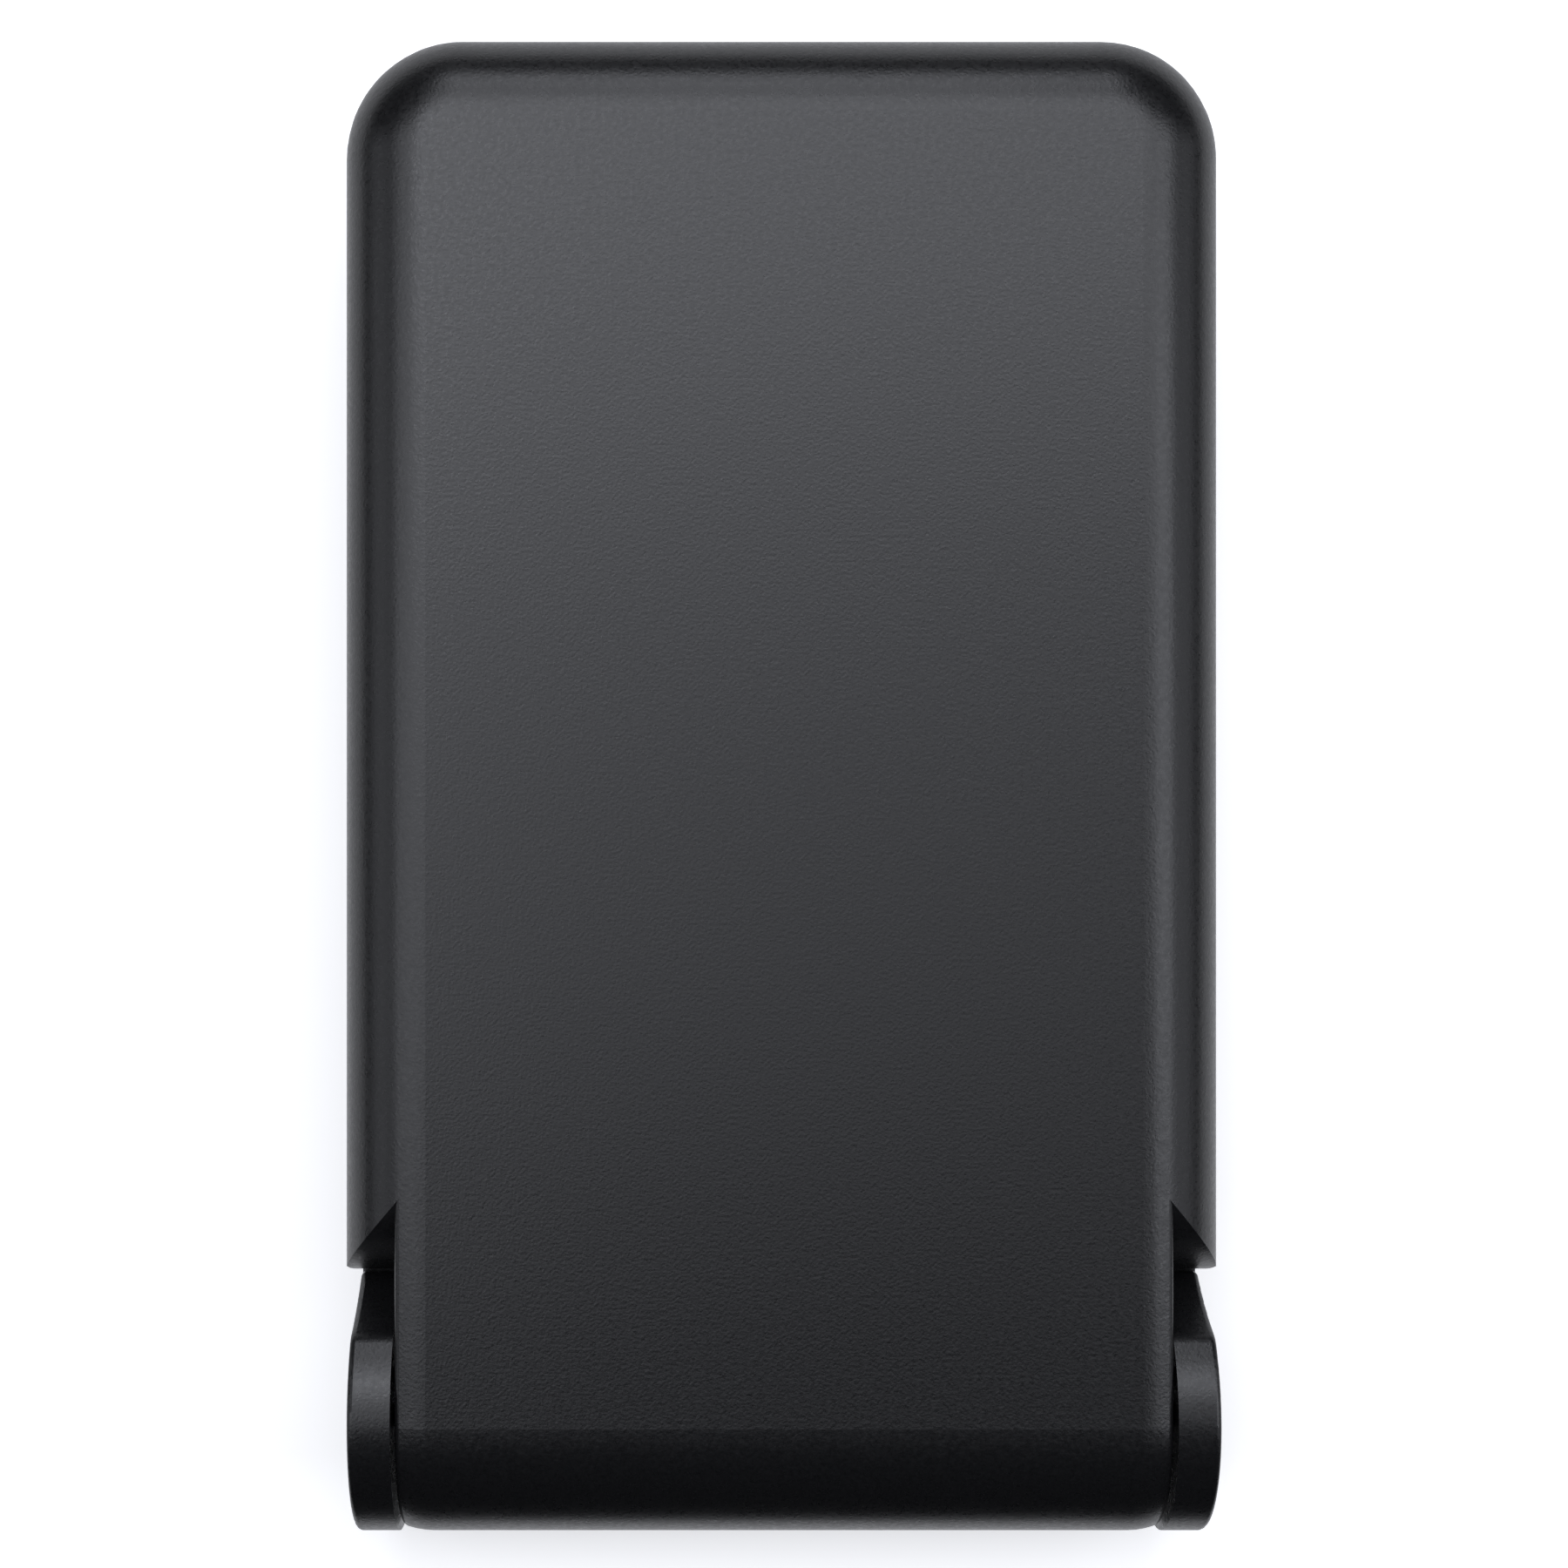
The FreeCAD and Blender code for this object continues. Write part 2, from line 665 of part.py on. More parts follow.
def hinge_bracket():
    """An eye round the shaft, an arm along the neck and a foot screwed to the backrest's bosses."""
    arm_x = (LUG_START, f"{LUG_START} + sheet")
    eye = rod("bracket_eye", "lug_radius", arm_x)
    arm = box("bracket_arm", arm_x, ("0", FOOT_END), (f"{BACK_COVER_TOP} + arm_gap", FOOT_TOP))
    foot = box(
        "bracket_foot",
        (FOOT_START_X, f"{LUG_START} + sheet"),
        (FOOT_START, FOOT_END),
        (f"{FOOT_TOP} - sheet", FOOT_TOP),
    )
    long_hole = (f"{LUG_START} - over", f"{LUG_START} + sheet + over")
    tools = [rod("bracket_bore", "shaft_radius + shaft_play", long_hole)]
    for i, x in enumerate(BRACKET_SCREW_X, 1):
        through = (f"{FOOT_TOP} - sheet - over", f"{FOOT_TOP} + over")
        tools.append(
            post(f"bracket_hole_{i}", "screw_radius + hole_play", x, BRACKET_SCREW_Y, through)
        )
    return cut("hinge_bracket_right", fuse("bracket_solid", [eye, arm, foot]), tools)


def bracket_screws():
    """Both brackets' screws, from below the feet into the backrest's bosses."""
    seat = f"({FOOT_TOP} - sheet)"
    grip = "(boss_height + sheet - thread_play)"
    places = BRACKET_SCREW_X + [f"(-{x})" for x in BRACKET_SCREW_X]
    return group(
        "bracket_screws",
        [
            screw(f"bracket_screw_{i}", x, BRACKET_SCREW_Y, seat, "bracket_head", grip)
            for i, x in enumerate(places, 1)
        ],
    )


def hinge_shaft():
    """A shaft with a square head in the ear and a shoulder for the friction stack."""
    head = box(
        "shaft_head",
        (f"{CAP_FLOOR} - head_thick", CAP_FLOOR),
        ("-head_side / 2", "head_side / 2"),
        ("-head_side / 2", "head_side / 2"),
    )
    stem = rod("shaft_stem", "shaft_radius", (SHAFT_START, CAP_FLOOR))
    collar = rod("shaft_collar", "collar_radius", (COLLAR_END, f"{COLLAR_END} + collar_thick"))
    return fuse("hinge_shaft_right", [head, stem, collar])


def ring(name, radius, bore, x):
    blank = rod(name + "_blank", radius, x)
    return cut(name, blank, [rod(name + "_bore", bore, (f"{x[0]} - over", f"{x[1]} + over"))])


def friction_washers():
    bore = "shaft_radius + shaft_play"
    outer = (f"{COLLAR_END} - washer_thick", COLLAR_END)
    inner = (SPRING_END, f"{SPRING_END} + washer_thick")
    return group(
        "friction_washers_right",
        [
            ring("outer_washer", "washer_radius", bore, outer),
            ring("inner_washer", "washer_radius", bore, inner),
        ],
    )


def disc_springs():
    """Dished rings stacked rim to rim and bore to bore, each turned about X from its section."""
    springs = []
    for i in range(SPRING_COUNT):
        body = new_body(f"disc_spring_{i + 1}")
        sketch = new_sketch(body, f"disc_spring_section_{i + 1}", "XZ_Plane", "0")
        low = f"({SPRING_END} - {i + 1} * {SPRING_PITCH})"
        bore_x, rim_x = (f"({low} + spring_dish)", low) if i % 2 else (low, f"({low} + spring_dish)")
        bore = "shaft_radius + 2 * shaft_play"
        draw(
            sketch,
            [
                (bore_x, bore),
                (f"{bore_x} + spring_thick", bore),
                (f"{rim_x} + spring_thick", "spring_radius"),
                (rim_x, "spring_radius"),
            ],
        )
        turned = body.newObject("PartDesign::Revolution", f"disc_spring_turned_{i + 1}")
        turned.Profile = sketch
        turned.ReferenceAxis = (sketch, ["H_Axis"])
        turned.Angle = 360
        doc.recompute()
        springs.append(body)
    return group("disc_springs_right", springs)


def lock_nut():
    nut = doc.addObject("Part::Prism", "nut_blank")
    nut.Polygon = 6
    nut.Placement = FreeCAD.Placement(Vector(), FreeCAD.Rotation(Vector(0, 1, 0), 90))
    bind(
        nut,
        Circumradius="nut_across / sqrt(3)",
        Height="nut_thick",
        Placement__Base__x=f"{NUT_END} - nut_thick",
    )
    bore_x = (f"{NUT_END} - nut_thick - over", f"{NUT_END} + over")
    return cut("lock_nut_right", nut, [rod("nut_bore", "shaft_radius + thread_play", bore_x)])


def ear_cap():
    return rod("ear_cap_right", "cap_radius", (CAP_FLOOR, EAR_OUTER))


# ---------------------------------------------------------------- base


def ear(name, side):
    """A disc round the hinge axis, its flank eased towards the wing; side is 1 or -1."""
    body = new_body(name)
    start = EAR_INNER if side > 0 else f"-{EAR_OUTER}"
    sketch = new_sketch(body, name + "_side", "YZ_Plane", start)
    diagonal = "barrel_radius * sqrt(0.5)"
    foot_y, top_y = (f"sqrt(barrel_radius ^ 2 - {z} ^ 2)" for z in ("flank_foot", "flank_top"))
    fall, rise = f"({foot_y} - {top_y})", "(flank_top - flank_foot)"
    length = f"sqrt({fall} ^ 2 + {rise} ^ 2)"
    flank_middle = (
        f"({foot_y} + {top_y}) / 2 - flank_dip * {rise} / {length}",
        f"(flank_foot + flank_top) / 2 - flank_dip * {fall} / {length}",
    )
    flank_radius = f"({fall} ^ 2 + {rise} ^ 2) / (8 * flank_dip) + flank_dip / 2"
    draw(
        sketch,
        [
            (foot_y, "flank_foot", flank_middle, flank_radius),
            (top_y, "flank_top", ("0", "barrel_radius"), "barrel_radius"),
            ("-barrel_radius", "0", (f"-{diagonal}", f"-{diagonal}"), "barrel_radius"),
            ("0", "-barrel_radius", (diagonal, f"-{diagonal}"), "barrel_radius"),
        ],
    )
    pad(body, sketch, "ear_thick")
    high = value_of("flank_top")
    round_edges(body, name + "_flank", "flank_round", lambda e: level_at(e, high))
    outer = side * value_of(EAR_OUTER)
    round_edges(
        body,
        name + "_rim",
        "ear_round",
        lambda e: same(e.BoundBox.XMin, outer) and same(e.BoundBox.XMax, outer),
    )
    return body


def base_outer():
    """The base's outside below the hinge plane, with its ears."""
    plate = slab(
        "base_plate",
        "plate_width / 2",
        ("0", "plate_reach"),
        ("-barrel_radius", BASE_INNER),
        "plate_corner",
        near_corner=False,
        rim="base_round",
        rim_z="-barrel_radius",
    )
    tall = ("-barrel_radius - over", "barrel_radius + over")
    tools = [
        beyond_corner("right_step", "right", "ear_inset", tall),
        beyond_corner("left_step", "left", "ear_inset", tall),
        box("nose_cut", (f"-{EAR_INNER}", EAR_INNER), ("-over", "barrel_radius - nose_overlap"), tall),
        rod("nose_groove", "barrel_radius + barrel_play", (f"-{EAR_INNER}", EAR_INNER)),
    ]
    arms = cut("base_arms", plate, tools)
    return fuse("base_outer", [arms, ear("right_ear", 1), ear("left_ear", -1)])


def base_shell():
    hollow = slab(
        "base_hollow",
        "plate_width / 2 - wall",
        (BASE_START, "plate_reach - wall"),
        (BASE_FLOOR, "-half_gap + over"),
        "plate_corner - wall",
        near_corner=False,
    )
    foot_recess = slab(
        "foot_pad_recess",
        FOOT_PAD_HALF,
        (BASE_START, FOOT_PAD_END),
        ("-barrel_radius - over", "-barrel_radius + foot_sunk"),
        "pad_corner",
    )
    tools = [hollow, foot_recess]
    for side, sign in SIDES.items():
        start = f"{sign}{EAR_INNER}"
        limits = [f"{sign}({EAR_OUTER} + over)", f"{sign}{CAP_FLOOR}"]
        head = [f"{sign}({CAP_FLOOR} + over)", f"{sign}({CAP_FLOOR} - head_thick)"]
        hole = [f"{sign}({EAR_OUTER} + over)", f"{sign}({EAR_INNER} - over)"]
        if not sign:
            limits, head, hole = limits[::-1], head[::-1], hole[::-1]
        half = ("-head_side / 2", "head_side / 2")
        tools += [
            rod(f"{side}_cap_seat", "cap_radius", limits),
            box(f"{side}_head_seat", head, half, half),
            rod(f"{side}_shaft_hole", "shaft_radius + shaft_play", hole),
        ]
    seat = "-barrel_radius + foot_sunk"
    for i, (x, y) in enumerate(SCREW_PLACES, 1):
        through = (seat, f"{BASE_FLOOR} + over")
        tools.append(post(f"base_screw_hole_{i}", "screw_radius + hole_play", x, y, through))
        sink = (f"{seat} - over", f"{seat} + screw_head")
        tools.append(post(f"base_screw_sink_{i}", "head_radius + hole_play", x, y, sink))
    return cut("base_shell", base_outer(), tools)


def base_cover():
    edge = "wall + cover_play"
    plate = slab(
        "base_cover_plate",
        f"plate_width / 2 - ({edge})",
        (f"{BASE_START} + cover_play", f"plate_reach - ({edge})"),
        (BASE_COVER_LOW, BASE_INNER),
        f"plate_corner - ({edge})",
        near_corner=False,
    )
    tray = box(
        "ledge_tray",
        (f"-{POCKET_HALF} - tray_wall", f"{POCKET_HALF} + tray_wall"),
        (f"{POCKET_START} - tray_wall / 2", f"{POCKET_END} + scoop_radius + tray_wall / 2"),
        (f"{POCKET_LOW} - tray_wall / 2", BASE_INNER),
    )
    solids = [plate, tray]
    tools = [
        box(
            "ledge_pocket",
            (f"-{POCKET_HALF}", POCKET_HALF),
            (POCKET_START, POCKET_END),
            (POCKET_LOW, "over"),
        ),
        post("finger_scoop", "scoop_radius", "0", POCKET_END, ("-half_gap - scoop_depth", "over")),
        rod(
            "pin_hole",
            "pin_radius + thread_play",
            (f"-{POCKET_HALF} - tray_wall - over", f"{POCKET_HALF} + tray_wall + over"),
            LEDGE_Y,
            LEDGE_Z,
        ),
        slab(
            "rest_recess",
            REST_HALF,
            (REST_START, REST_END),
            ("-half_gap - pad_thick", "over"),
            "rest_corner",
        ),
    ]
    for i, (x, y) in enumerate(SCREW_PLACES, 1):
        solids.append(post(f"base_boss_{i}", "boss_radius", x, y, (BASE_FLOOR, "-half_gap - pad_thick")))
        pilot = (BASE_FLOOR, f"{BASE_FLOOR} + screw_grip")
        tools.append(post(f"base_pilot_{i}", "screw_radius + thread_play", x, y, pilot))
    return cut("base_cover", fuse("base_cover_solid", solids), tools)


def ballast_plate():
    plate = slab(
        "ballast_blank",
        f"{PLATE_HALF} - ballast_side",
        (f"{BASE_START} + ballast_gap", "plate_reach - ballast_inset"),
        (BASE_FLOOR, f"{BASE_FLOOR} + ballast_thick"),
        "pad_corner",
    )
    holes = [
        post(f"ballast_hole_{i}", "boss_radius + boss_play", x, y, (f"{BASE_FLOOR} - over", "0"))
        for i, (x, y) in enumerate(SCREW_PLACES, 1)
    ]
    return cut("ballast_plate", plate, holes)


def foot_pad():
    return slab(
        "foot_pad",
        f"{FOOT_PAD_HALF} - pad_play",
        (f"{BASE_START} + pad_play", f"{FOOT_PAD_END} - pad_play"),
        ("-barrel_radius - foot_proud", "-barrel_radius + foot_sunk"),
        "pad_corner - pad_play",
    )


def base_screws():
    seat = "(-barrel_radius + foot_sunk + screw_head)"
    grip = f"({BASE_FLOOR} - {seat} + screw_grip)"
    return group(
        "base_screws",
        [
            screw(f"base_screw_{i}", x, y, seat, "screw_head", grip)
            for i, (x, y) in enumerate(SCREW_PLACES, 1)
        ],
    )


def phone_rest_pad():
    return slab(
        "phone_rest_pad",
        f"{REST_HALF} - pad_play",
        (f"{REST_START} + pad_play", f"{REST_END} - pad_play"),
        ("-half_gap - pad_thick", BASE_INNER),
        "rest_corner - pad_play",
    )


# ---------------------------------------------------------------- ledge

LEDGE_TOP = f"({LEDGE_Z} + ledge_thick / 2)"
GRIP_X = f"({LEDGE_HALF} - 2 * grip_margin)"
GRIP_Y = (f"{LEDGE_Y} + grip_start", f"{LEDGE_Y} + ledge_reach - grip_margin")


def ledge_flap():
    """A flap with a round heel about its pin, which stands up to stop the phone's lower edge."""
    body = new_body("ledge_blade")
    sketch = new_sketch(body, "ledge_blade_outline", "YZ_Plane", f"-{LEDGE_HALF}")
    thick = "ledge_thick / 2"
    diagonal = "ledge_thick / 2 * sqrt(0.5)"
    tip = f"{LEDGE_Y} + ledge_reach"
    low, high = f"{LEDGE_Z} - {thick}", f"{LEDGE_Z} + {thick}"
    draw(
        sketch,
        [
            (LEDGE_Y, low),
            (tip, low),
            (tip, high),
            (LEDGE_Y, high, (f"{LEDGE_Y} - {diagonal}", f"{LEDGE_Z} + {diagonal}"), thick),
            (f"{LEDGE_Y} - {thick}", LEDGE_Z, (f"{LEDGE_Y} - {diagonal}", f"{LEDGE_Z} - {diagonal}"), thick),
        ],
    )
    pad(body, sketch, f"2 * {LEDGE_HALF}")
    end = value_of(tip)
    round_edges(
        body,
        "ledge_tips",
        "ledge_tip",
        lambda e: across_at(e, end) and e.BoundBox.XLength > NEAR,
    )
    bore_x = (f"-{LEDGE_HALF} - over", f"{LEDGE_HALF} + over")
    bore = rod("ledge_bore", "pin_radius + shaft_play", bore_x, LEDGE_Y, LEDGE_Z)
    recess = box(
        "grip_recess",
        (f"-{GRIP_X}", GRIP_X),
        GRIP_Y,
        (f"{LEDGE_TOP} - grip_thick", f"{LEDGE_TOP} + over"),
    )
    return cut("ledge_flap", body, [bore, recess])


def ledge_grip():
    return box("ledge_grip", (f"-{GRIP_X}", GRIP_X), GRIP_Y, (f"{LEDGE_TOP} - grip_thick", LEDGE_TOP))


def ledge_pin():
    end = f"({POCKET_HALF} + tray_wall)"
    return rod("ledge_pin", "pin_radius", (f"-{end}", end), LEDGE_Y, LEDGE_Z)


# ---------------------------------------------------------------- assembly

right_hand = [hinge_bracket(), hinge_shaft(), friction_washers(), disc_springs(), lock_nut(), ear_cap()]
pieces = [
    backrest_shell(),
    backrest_cover(),
    backrest_pad(),
    backrest_screws(),
    bracket_screws(),
    base_shell(),
    base_cover(),
    ballast_plate(),
    foot_pad(),
    base_screws(),
    phone_rest_pad(),
    ledge_flap(),
    ledge_grip(),
    ledge_pin(),
]
for piece in right_hand:
    pieces += [piece, mirrored(piece.Name.replace("_right", "_left"), piece)]
doc.recompute()
for piece in pieces:
    piece.Label = piece.Name
    if piece.Name.endswith("_left"):
        continue  # a mirrored piece already follows its source's Placement
    drawn = dict(piece.ExpressionEngine)
    for path, shift in ((".Placement.Base.y", PLACE_Y), (".Placement.Base.z", PLACE_Z)):
        piece.setExpression(path, f"{full(shift)} + {drawn.get(path, '0')}")
doc.recompute()

for thing in doc.Objects:
    if "Invalid" in thing.State or "Error" in thing.State:
        raise RuntimeError(f"{thing.Name} did not recompute: {thing.State}")
os.makedirs("parts", exist_ok=True)
for piece in pieces:
    shape = piece.Shape
    if shape.isNull() or not shape.isValid() or not shape.Solids:
        raise RuntimeError(f"{piece.Label} is not a sound solid")
    shape.exportStep(f"parts/{piece.Label}.step")
    print(f"{piece.Label}: {len(shape.Solids)} solid(s), {shape.Volume:.1f} mm3")
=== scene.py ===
import json
import math

import bmesh
import bpy
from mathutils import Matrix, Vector


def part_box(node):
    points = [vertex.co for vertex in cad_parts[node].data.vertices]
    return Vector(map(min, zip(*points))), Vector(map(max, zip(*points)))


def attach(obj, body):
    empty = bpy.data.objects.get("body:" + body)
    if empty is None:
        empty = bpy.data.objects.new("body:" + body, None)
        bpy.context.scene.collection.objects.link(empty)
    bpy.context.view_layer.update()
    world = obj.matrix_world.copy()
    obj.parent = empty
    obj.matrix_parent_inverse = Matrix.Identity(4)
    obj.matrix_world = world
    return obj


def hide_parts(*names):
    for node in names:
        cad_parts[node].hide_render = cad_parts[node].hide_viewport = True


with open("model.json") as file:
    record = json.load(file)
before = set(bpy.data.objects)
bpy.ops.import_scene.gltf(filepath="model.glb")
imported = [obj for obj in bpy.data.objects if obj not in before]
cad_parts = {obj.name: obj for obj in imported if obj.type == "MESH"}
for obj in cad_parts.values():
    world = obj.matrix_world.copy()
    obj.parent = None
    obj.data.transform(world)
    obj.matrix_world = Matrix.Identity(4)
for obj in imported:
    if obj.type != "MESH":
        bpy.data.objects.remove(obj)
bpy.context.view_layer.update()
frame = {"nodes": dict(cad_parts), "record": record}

MM = 0.001
WHITE = (1.0, 1.0, 1.0)
COOL_WHITE = (0.91, 0.93, 1.0)

# ---------------------------------------------------------------- materials

# Most of a noise texture's values lie between these, so they are spread over a finish's range.
NOISE_LOW, NOISE_HIGH = 0.3, 0.7
TINT_LOW, TINT_HIGH = 0.32, 0.68


class Shader:
    """One material's node tree, with short calls for the few nodes that every finish here uses."""

    def __init__(self, name, color, roughness, metallic=0.0, specular=0.5):
        self.material = bpy.data.materials.new(name)
        self.material.use_nodes = True
        self.tree = self.material.node_tree
        self.bsdf = self.tree.nodes["Principled BSDF"]
        self.set("Base Color", (*color, 1.0))
        self.set("Roughness", roughness)
        self.set("Metallic", metallic)
        self.set("Specular IOR Level", specular)
        self.place = self.node("ShaderNodeTexCoord").outputs["Object"]

    def node(self, kind, **settings):
        made = self.tree.nodes.new(kind)
        for key, value in settings.items():
            setattr(made, key, value)
        return made

    def set(self, socket, value):
        self.bsdf.inputs[socket].default_value = value

    def link(self, output, socket):
        self.tree.links.new(output, socket)

    def stretched(self, x, y, z):
        """Object coordinates scaled unevenly, for grain that runs one way."""
        mapping = self.node("ShaderNodeMapping")
        mapping.inputs["Scale"].default_value = (x, y, z)
        self.link(self.place, mapping.inputs["Vector"])
        return mapping.outputs["Vector"]

    def noise(self, size, detail, place=None):
        """Noise whose grains are about size metres across."""
        texture = self.node("ShaderNodeTexNoise")
        texture.inputs["Scale"].default_value = 1.0 / size
        texture.inputs["Detail"].default_value = detail
        self.link(place or self.place, texture.inputs["Vector"])
        return texture.outputs["Fac"]

    def cells(self, size):
        """Distance to the nearest of scattered points about size metres apart."""
        texture = self.node("ShaderNodeTexVoronoi")
        texture.inputs["Scale"].default_value = 1.0 / size
        self.link(self.place, texture.inputs["Vector"])
        return texture.outputs["Distance"]

    def span(self, value, low, high, start=NOISE_LOW, end=NOISE_HIGH):
        """value's range from start to end turned into low to high."""
        ranged = self.node("ShaderNodeMapRange")
        for socket, number in (
            ("From Min", start),
            ("From Max", end),
            ("To Min", low),
            ("To Max", high),
        ):
            ranged.inputs[socket].default_value = number
        self.link(value, ranged.inputs["Value"])
        return ranged.outputs["Result"]

    def tint(self, value, tone, dark, light):
        """Base colour from dark times the tone to light times the tone."""
        ramp = self.node("ShaderNodeValToRGB")
        ends = zip(ramp.color_ramp.elements, (TINT_LOW, TINT_HIGH), (dark, light))
        for end, position, factor in ends:
            end.position = position
            end.color = (*(factor * channel for channel in tone), 1.0)
        self.link(value, ramp.inputs["Fac"])
        self.link(ramp.outputs["Color"], self.bsdf.inputs["Base Color"])

    def roughen(self, value, low, high):
        self.link(self.span(value, low, high), self.bsdf.inputs["Roughness"])

    def bump(self, heights):
        """Stacks bumps; heights are (value, depth in metres, strength)."""
        normal = None
        for value, depth, strength in heights:
            layer = self.node("ShaderNodeBump")
            layer.inputs["Strength"].default_value = strength
            layer.inputs["Distance"].default_value = depth
            self.link(value, layer.inputs["Height"])
            if normal:
                self.link(normal, layer.inputs["Normal"])
            normal = layer.outputs["Normal"]
        self.link(normal, self.bsdf.inputs["Normal"])


def eroded_plastic(name, tone, roughness, grain):
    """Black moulded plastic with a spark-eroded skin whose pits are grain metres across."""
    patch_size, sheen_size, cell_size, spread = 9 * MM, grain * 1.7, grain * 2.2, 0.05
    shader = Shader(name, tone, roughness)
    pits = shader.noise(grain, detail=3.0)
    patches = shader.noise(patch_size, detail=4.0)
    shader.tint(pits, tone, dark=0.82, light=1.2)
    shader.roughen(shader.noise(sheen_size, detail=2.0), roughness - spread, roughness + spread)
    shader.bump(
        [
            (patches, 0.02 * MM, 0.25),
            (pits, 0.024 * MM, 0.9),
            (shader.cells(cell_size), 0.01 * MM, 0.3),
        ]
    )
    return shader.material


def silicone(name, tone):
    """Soft matte silicone with a powdery bloom."""
    bloom_size, skin_size = 2.5 * MM, 0.12 * MM
    shader = Shader(name, tone, roughness=0.62, specular=0.4)
    shader.set("Sheen Weight", 0.12)
    shader.set("Sheen Roughness", 0.5)
    bloom = shader.noise(bloom_size, detail=5.0)
    skin = shader.noise(skin_size, detail=2.0)
    shader.tint(bloom, tone, dark=0.85, light=1.25)
    shader.roughen(skin, 0.56, 0.7)
    shader.bump([(bloom, 0.03 * MM, 0.2), (skin, 0.008 * MM, 0.5)])
    return shader.material


def rubber(name, tone):
    """Anti-slip rubber, duller than the silicone and coarser."""
    skin_size, dust_size, pore_size = 0.3 * MM, 4 * MM, 0.5 * MM
    shader = Shader(name, tone, roughness=0.75, specular=0.35)
    skin = shader.noise(skin_size, detail=4.0)
    shader.tint(shader.noise(dust_size, detail=4.0), tone, dark=0.8, light=1.3)
    shader.roughen(skin, 0.66, 0.84)
    shader.bump([(shader.cells(pore_size), 0.02 * MM, 0.4), (skin, 0.015 * MM, 0.5)])
    return shader.material


# How tool marks run on a metal piece: round X, round Z, or no particular way.
ROUND_X, ROUND_Z, NO_WAY = (20.0, 1.0, 1.0), (1.0, 1.0, 20.0), (1.0, 1.0, 1.0)


def turned_metal(name, tone, roughness, run):
    """Turned or stamped metal whose tool marks run one way."""
    mark_size, stain_size = 1.2 * MM, 2 * MM
    shader = Shader(name, tone, roughness, metallic=1.0)
    marks = shader.noise(mark_size, detail=3.0, place=shader.stretched(*run))
    shader.tint(shader.noise(stain_size, detail=4.0), tone, dark=0.88, light=1.0)
    shader.roughen(marks, roughness - 0.07, roughness + 0.09)
    shader.bump([(marks, 0.006 * MM, 0.5)])
    return shader.material


def plated_sheet(name, tone):
    """Zinc-plated steel with a faint spangle."""
    spangle_size, skin_size = 2.2 * MM, 0.4 * MM
    shader = Shader(name, tone, roughness=0.4, metallic=1.0)
    spangle = shader.cells(spangle_size)
    shader.tint(spangle, tone, dark=0.8, light=1.0)
    shader.roughen(spangle, 0.34, 0.5)
    shader.bump([(shader.noise(skin_size, detail=3.0), 0.01 * MM, 0.3)])
    return shader.material


def light_table():
    """A matt white sheet with a faint tooth, lit from below and more so further out."""
    near_glow, far_glow, glow_start, glow_end, tooth_size = 0.42, 1.0, 0.12, 0.5, 0.6 * MM
    shader = Shader("light_table", (0.9, 0.9, 0.9), roughness=0.9, specular=0.0)
    distance = shader.node("ShaderNodeVectorMath", operation="LENGTH")
    shader.link(shader.place, distance.inputs[0])
    glow = shader.span(distance.outputs["Value"], near_glow, far_glow, glow_start, glow_end)
    shader.set("Emission Color", (*WHITE, 1.0))
    shader.link(glow, shader.bsdf.inputs["Emission Strength"])
    shader.bump([(shader.noise(tooth_size, detail=3.0), 0.01 * MM, 0.2)])
    return shader.material


def painted_reflection_card():
    """A dim, even, glowing card that the plastic mirrors in place of the table: a painted reflection
    that nothing else sees.
    """
    shader = Shader("painted_reflection_card", (0.5, 0.5, 0.5), roughness=0.9, specular=0.0)
    # Painted reflection: the card's cool white glow is what the plastic's rims mirror.
    shader.set("Emission Color", (*COOL_WHITE, 1.0))
    shader.set("Emission Strength", 0.55)
    return shader.material


BLACK = (0.006, 0.0061, 0.0066)
INNER_BLACK = (0.0058, 0.0059, 0.0064)
FINISHES = {
    "casing_plastic": eroded_plastic("casing_plastic_skin", BLACK, 0.3, 0.24 * MM),
    "cover_plastic": eroded_plastic("cover_plastic_skin", INNER_BLACK, 0.36, 0.2 * MM),
    "ledge_plastic": eroded_plastic("ledge_plastic_skin", INNER_BLACK, 0.34, 0.2 * MM),
    "silicone": silicone("silicone_skin", (0.026, 0.026, 0.027)),
    "foot_rubber": rubber("foot_rubber_skin", (0.02, 0.02, 0.0205)),
    "ballast_steel": plated_sheet("ballast_zinc", (0.5, 0.51, 0.53)),
    "hinge_steel": turned_metal("hinge_steel_turned", (0.53, 0.53, 0.54), 0.3, ROUND_X),
    "washer_brass": turned_metal("washer_brass_stamped", (0.7, 0.53, 0.27), 0.28, NO_WAY),
    "spring_steel": turned_metal("spring_steel_hard", (0.33, 0.32, 0.31), 0.34, NO_WAY),
    "screw_steel": turned_metal("screw_black_oxide", (0.12, 0.12, 0.125), 0.42, ROUND_Z),
}


def wear(piece, slot):
    """Puts a material slot's finish on a piece."""
    piece.data.materials.clear()
    piece.data.materials.append(FINISHES[slot])


def finish_nodes():
    """Gives every CAD node the finish of its material slot."""
    slots = {part["node"]: part["material_slot"] for part in frame["record"]["subparts"]}
    for name, node in frame["nodes"].items():
        wear(node, slots[name])


# ---------------------------------------------------------------- moulded pieces


def add_object(name, mesh, finish):
    """Turns a bmesh into an object of the scene that wears one material."""
    data = bpy.data.meshes.new(name)
    mesh.to_mesh(data)
    mesh.free()
    data.materials.append(finish)
    made = bpy.data.objects.new(name, data)
    bpy.context.collection.objects.link(made)
    return made


def add_piece(name, mesh, node, body, slot):
    """A closed mesh that stands for a CAD node, on its body and in its slot's finish."""
    bmesh.ops.recalc_face_normals(mesh, faces=mesh.faces)
    mesh.normal_update()
    piece = add_object(name, mesh, FINISHES[slot])
    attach(piece, body)
    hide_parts(node)


